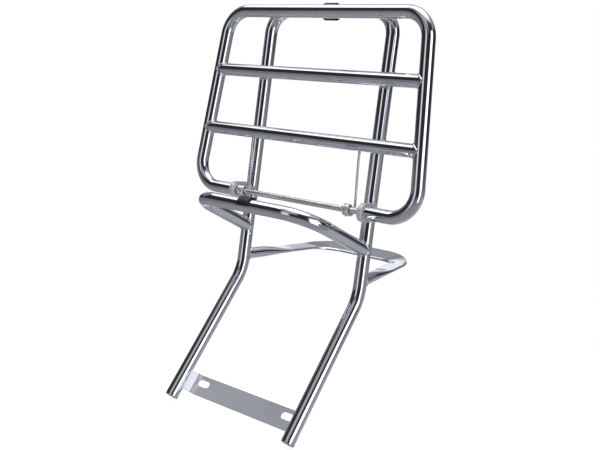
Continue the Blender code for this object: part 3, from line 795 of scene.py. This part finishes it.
def arm_hole_cutters(bottom):
    """Pins that cut the spring arms' holes into a rail whose underside is at `bottom`."""
    cutters = []
    for side in SIDES.values():
        low = on_carrier(side * SPRING_ARM_X, bottom - HOLE_CUTTER_OVERRUN)
        high = on_carrier(side * SPRING_ARM_X, bottom + ARM_HOLE_DEPTH)
        work = bmesh.new()
        sweep(work, [low, high], ARM_HOLE_RADIUS, HOLE_SIDES)
        cutters.append(mesh_object("cutter", work))
    return cutters


def build_carrier():
    """Carrier outline, one bent tube whose stubs end at the hinge, and its two cross rails."""
    corners = [
        HINGE - Vector((STUB_END_X, 0, 0)),
        carrier_corner(-1, 0),
        carrier_corner(-1, CARRIER_HEIGHT),
        carrier_corner(1, CARRIER_HEIGHT),
        carrier_corner(1, 0),
        HINGE + Vector((STUB_END_X, 0, 0)),
    ]
    path = rounded_path(corners, [CARRIER_CORNER_RADIUS] * 4)
    tube = bar("carrier_ring", path, TUBE_RADIUS, CHROME, "carrier", end_round=EDGE_ROUND)
    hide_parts("carrier_tube")
    for index, node in enumerate(("cross_bar_lower", "cross_bar_upper"), start=1):
        height = bar_height(index)
        ends = [carrier_corner(-1, height), carrier_corner(1, height)]
        work = bmesh.new()
        sweep(work, ends, TUBE_RADIUS)
        rail = finished(node.replace("cross_bar", "cross_rail"), work, CHROME)
        if index == 1:
            cut_and_bevel(rail, arm_hole_cutters(height - TUBE_RADIUS), 0)
        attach(rail, "carrier")
        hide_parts(node)


# ---------------------------------------------------------------- rubber
def build_rubber():
    """Sleeve round the frame's top bar, and a half-round saddle on the hoop."""
    node = "top_buffer"
    profile = sleeve_profile(TUBE_RADIUS, box_size(node, 1) / 2, box_size(node, 0), EDGE_ROUND)
    sleeve = lathe("rubber_sleeve", profile, CROSSBAR, ACROSS, RUBBER, "frame")
    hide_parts(node)
    node = "hoop_buffer"
    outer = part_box(node)[1][2] - HOOP_FRONT.z
    profile = sleeve_profile(TUBE_RADIUS, outer, box_size(node, 0), EDGE_ROUND)
    saddle = lathe(
        "rubber_saddle", profile, HOOP_FRONT, ACROSS, RUBBER, "frame",
        steps=SADDLE_STEPS, arc=math.pi,
    )
    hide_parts(node)


# ---------------------------------------------------------------- welds
def weld_size(k, seed):
    """Bead radius at one step: a regular rhythm of puddles with some unevenness."""
    puddle = math.cos(k * math.tau / WELD_STEPS_PER_PUDDLE) * WELD_RHYTHM
    return WELD_BEAD_RADIUS + WELD_RIPPLE * noise.noise(Vector((puddle, k * WELD_UNEVENNESS, seed)))


def weld_loop(work, start, direction, radius, wall_direction, seed):
    """Bead where a tube that leaves `start` comes out of the tube along `wall_direction`."""
    along = direction.normalized()
    side = along.cross(wall_direction).normalized()
    rise = along.cross(side)
    travel = along - wall_direction * along.dot(wall_direction)
    points, outward = [], []
    for k in range(WELD_STEPS):
        angle = math.tau * k / WELD_STEPS
        radial = side * math.cos(angle) + rise * math.sin(angle)
        rim = radial * radius
        rim -= wall_direction * rim.dot(wall_direction)
        a, b, c = travel.dot(travel), 2 * rim.dot(travel), rim.dot(rim) - TUBE_RADIUS**2
        reach = (-b + math.sqrt(max(b * b - 4 * a * c, 0.0))) / (2 * a)
        points.append(start + radial * radius + along * reach)
        outward.append(radial)
    rings = []
    for k, (point, radial, tangent) in enumerate(zip(points, outward, tangents_of(points, True))):
        size = weld_size(k, seed)
        normal = (radial - tangent * radial.dot(tangent)).normalized()
        across = tangent.cross(normal)
        ring = []
        for j in range(WELD_SIDES):
            angle = math.tau * j / WELD_SIDES
            offset = normal * math.cos(angle) + across * math.sin(angle)
            ring.append(work.verts.new(point + offset * size))
        rings.append(ring)
    skin_rings(work, rings, closed=True)


def build_welds():
    """Beads at the hoop's and loop's roots, and at the ends of the cross rails."""
    up = Vector((0, 0, 1))
    work = bmesh.new()
    hoop = hoop_points()[0]
    loop = loop_corners()
    weld_loop(work, hoop[0], hoop[1] - hoop[0], TUBE_RADIUS, up, 1)
    weld_loop(work, hoop[3], hoop[2] - hoop[3], TUBE_RADIUS, up, 2)
    weld_loop(work, loop[0], loop[1] - loop[0], LOOP_TUBE_RADIUS, up, 3)
    weld_loop(work, loop[3], loop[2] - loop[3], LOOP_TUBE_RADIUS, up, 4)
    finished("frame_welds", work, PRESSED_CHROME, "frame")
    work = bmesh.new()
    for index in (1, 2):
        for side in SIDES.values():
            end = carrier_corner(side, bar_height(index))
            wall = (carrier_corner(side, CARRIER_HEIGHT) - carrier_corner(side, 0)).normalized()
            inward = Vector((-side, 0, 0))
            weld_loop(work, end, inward, TUBE_RADIUS, wall, 4 + index * 2 + side)
    finished("carrier_welds", work, PRESSED_CHROME, "carrier")


build_frame()
build_caps()
build_hoop()
build_loop()
build_strip()
build_eyes()
build_rod()
build_springs()
build_carrier()
build_rubber()
build_welds()
for label in SIDES:
    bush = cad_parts[f"stub_bush_{label}"]
    bush.data.materials.clear()
    bush.data.materials.append(NYLON)


# ---------------------------------------------------------------- camera
VIEW_AZIMUTH = 38.3
CAMERA_OFFSET = Vector((0.630795, -0.812850, 0.069652))
CAMERA_RIGHT = Vector((0.77711, 0.61673, 0.12548))
CAMERA_UP = Vector((-0.13575, -0.03042, 0.99028))
CAMERA_LENS = 50.62
CAMERA_SHIFT = (-0.0093, -0.0513)
SENSOR_WIDTH = 36
CLIP_START = 0.01
CLIP_END = 100


def build_camera():
    data = bpy.data.cameras.new("camera")
    camera = bpy.data.objects.new("camera", data)
    bpy.context.scene.collection.objects.link(camera)
    back = CAMERA_RIGHT.cross(CAMERA_UP).normalized()
    up = back.cross(CAMERA_RIGHT).normalized()
    matrix = matrix_of(CAMERA_RIGHT.normalized(), up, back)
    matrix.translation = Vector((0, LEG_Y, HINGE.z)) + CAMERA_OFFSET
    camera.matrix_world = matrix
    data.lens = CAMERA_LENS
    data.sensor_width = SENSOR_WIDTH
    data.shift_x, data.shift_y = CAMERA_SHIFT
    data.clip_start = CLIP_START
    data.clip_end = CLIP_END
    bpy.context.scene.camera = camera


# ---------------------------------------------------------------- floor and light
FLOOR_DROP = 0.4 * MM
FLOOR_SIZE = 20.0
FLOOR_PAINT = (0.5, 0.5, 0.5, 1)
FLOOR_GLOW = 0.82
FLOOR_FADE_START = 0.25
FLOOR_FADE_END = 1.0
WHITE = 1.0


def floor_material():
    """Pale paint that fades to plain white away from the rack; only the camera sees it."""
    material = bpy.data.materials.new("pale_floor")
    material.use_nodes = True
    tree = material.node_tree
    tree.nodes.clear()
    paint = add_node(tree, "ShaderNodeBsdfDiffuse")
    paint.inputs["Color"].default_value = FLOOR_PAINT
    near = add_node(tree, "ShaderNodeAddShader")
    tree.links.new(paint.outputs[0], near.inputs[0])
    tree.links.new(emission(tree, FLOOR_GLOW), near.inputs[1])
    away = add_node(tree, "ShaderNodeVectorMath", operation="LENGTH")
    tree.links.new(add_node(tree, "ShaderNodeNewGeometry").outputs["Position"], away.inputs[0])
    fade = ramp(tree, away.outputs["Value"], FLOOR_FADE_START, FLOOR_FADE_END)
    surface = mix_shaders(tree, fade, near.outputs[0], emission(tree, WHITE))
    clear = add_node(tree, "ShaderNodeBsdfTransparent").outputs[0]
    seen = add_node(tree, "ShaderNodeLightPath").outputs["Is Camera Ray"]
    out = add_node(tree, "ShaderNodeOutputMaterial")
    tree.links.new(mix_shaders(tree, seen, clear, surface), out.inputs["Surface"])
    return material


def build_floor():
    work = bmesh.new()
    low = CAD_BOUNDS[0][2] - FLOOR_DROP
    corners = [(-1, -1), (1, -1), (1, 1), (-1, 1)]
    work.faces.new([work.verts.new((x * FLOOR_SIZE, y * FLOOR_SIZE, low)) for x, y in corners])
    mesh = bpy.data.meshes.new("floor")
    work.to_mesh(mesh)
    work.free()
    floor = bpy.data.objects.new("floor", mesh)
    bpy.context.scene.collection.objects.link(floor)
    mesh.materials.append(floor_material())


# Studio surroundings as light and dark cards, each laid over the ones before it:
# (bearing from, to, softness, elevation from, to, softness, level), all but the level in degrees.
# Bearings run anticlockwise, seen from above, from the side that the camera stands on.
HALF_TURN = 180
ZENITH = 90
ROOM_LEVEL = 0.20
ROOM_TINT = (0.97, 0.98, 1.06, 1)
DARK = 0.03
CARDS = [
    (-180, 180, 0, -90, -26, 8, 0.30),
    (-180, -145, 8, -60, -15, 8, 0.26),
    (80, 180, 10, -90, -9, 3, 0.42),
    (-180, 180, 0, 30, 90, 8, 0.30),
    (-155, -112, 5, -1, 12, 2, DARK),
    (-116, -62, 5, 0, 41, 3, DARK),
    (52, 84, 6, -12, 4, 4, 0.32),
    (-58, -38, 4, -14, 18, 6, 0.85),
    (-52, -18, 6, 30, 52, 6, 0.48),
    (-33, 19, 4, -12, 22, 6, DARK),
    (-9, 19, 4, 18, 60, 4, DARK),
    (17, 60, 4, 30, 60, 4, DARK),
    (56, 125, 6, 4, 32, 4, DARK),
    (21, 46, 3, -25, 10, 4, 1.70),
    (28, 60, 3, 6, 32, 4, 2.20),
    (-180, 180, 0, 56, 90, 8, 0.85),
    (-180, 180, 0, 68, 90, 5, 4.00),
    (-180, -150, 6, 38, 60, 5, 0.36),
    (-155, -84, 6, 42, 66, 3, 1.60),
    (156, 180, 6, -20, 24, 8, 1.00),
    (-180, -158, 6, -20, 24, 8, 1.00),
]


def soft_window(tree, mask, angle, low, high, soft, limit):
    """Multiply a mask by 1 from low to high and 0 beyond; an edge at the limit has no fade."""
    if low > -limit:
        mask = maths(tree, "MULTIPLY", mask, ramp(tree, angle, low - soft, low + soft))
    if high < limit:
        mask = maths(tree, "MULTIPLY", mask, ramp(tree, angle, high - soft, high + soft, 1.0, 0.0))
    return mask


def build_world():
    """Cards for light and reflections, and a plain white backdrop for the camera."""
    world = bpy.data.worlds.new("studio")
    bpy.context.scene.world = world
    world.use_nodes = True
    tree = world.node_tree
    tree.nodes.clear()
    direction = add_node(tree, "ShaderNodeTexCoord").outputs["Generated"]
    split = add_node(tree, "ShaderNodeSeparateXYZ")
    tree.links.new(direction, split.inputs[0])
    x, y, z = split.outputs
    bearing = maths(tree, "ARCTAN2", x, maths(tree, "MULTIPLY", y, -1.0))
    bearing = maths(tree, "MULTIPLY_ADD", bearing, math.degrees(1), -VIEW_AZIMUTH)
    bearing = maths(tree, "WRAP", bearing, HALF_TURN, -HALF_TURN)
    elevation = maths(tree, "MULTIPLY", maths(tree, "ARCSINE", z), math.degrees(1))
    level = ROOM_LEVEL
    for low, high, soft, down, up, fade, value in CARDS:
        mask = soft_window(tree, 1.0, bearing, low, high, soft, HALF_TURN)
        mask = soft_window(tree, mask, elevation, down, up, fade, ZENITH)
        kept = maths(tree, "MULTIPLY", maths(tree, "SUBTRACT", 1.0, mask), level)
        level = maths(tree, "MULTIPLY_ADD", mask, value, kept)
    room = add_node(tree, "ShaderNodeBackground")
    room.inputs["Color"].default_value = ROOM_TINT
    tree.links.new(level, room.inputs["Strength"])
    backdrop = add_node(tree, "ShaderNodeBackground")
    backdrop.inputs["Color"].default_value = (1, 1, 1, 1)
    backdrop.inputs["Strength"].default_value = WHITE
    seen = add_node(tree, "ShaderNodeLightPath").outputs["Is Camera Ray"]
    out = add_node(tree, "ShaderNodeOutputWorld")
    whole = mix_shaders(tree, seen, room.outputs[0], backdrop.outputs[0])
    tree.links.new(whole, out.inputs["Surface"])
    bpy.context.scene.view_settings.view_transform = "Standard"


build_camera()
build_floor()
build_world()
